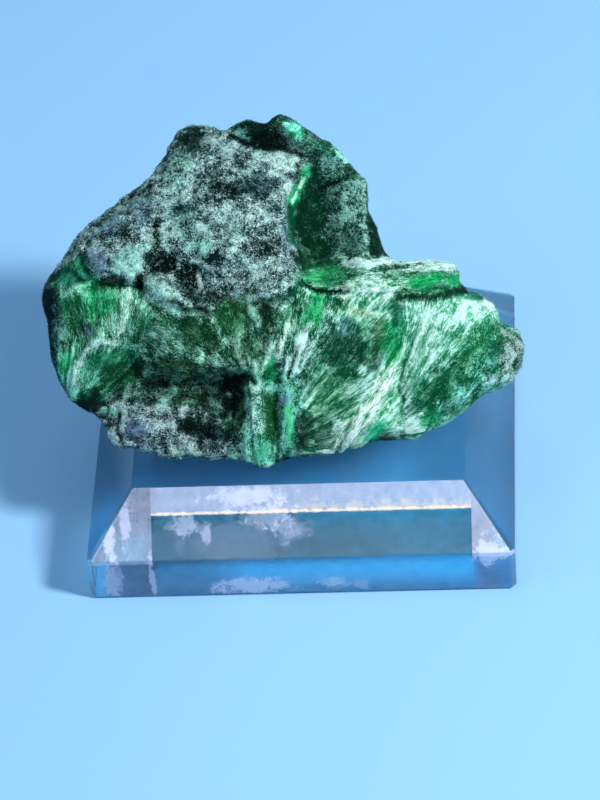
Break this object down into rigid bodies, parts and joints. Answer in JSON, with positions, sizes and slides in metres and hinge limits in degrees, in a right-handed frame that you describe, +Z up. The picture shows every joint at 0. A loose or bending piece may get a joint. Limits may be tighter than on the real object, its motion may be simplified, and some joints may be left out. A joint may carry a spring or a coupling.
{
  "type": "silky malachite specimen on an acrylic display block",
  "caption": "Hand specimen of fibrous silky malachite with a crusted slope, velvet hollows and silky fans, resting on a bevelled clear acrylic display block.",
  "frame": {"origin": "centre of the block's bottom face", "axes": "+Z up, +X to the viewer's right along the block's long side, -Y towards the viewer"},
  "size_m": [0.0861, 0.0705, 0.0589],
  "materials": {
    "malachite": "silky fibrous malachite, bright to blackish green, with a matt grey-green crust",
    "acrylic": "clear polished cast acrylic, see-through"
  },
  "bodies": {
    "root": {"malachite": "malachite", "acrylic_block": "acrylic"}
  },
  "joints": []
}
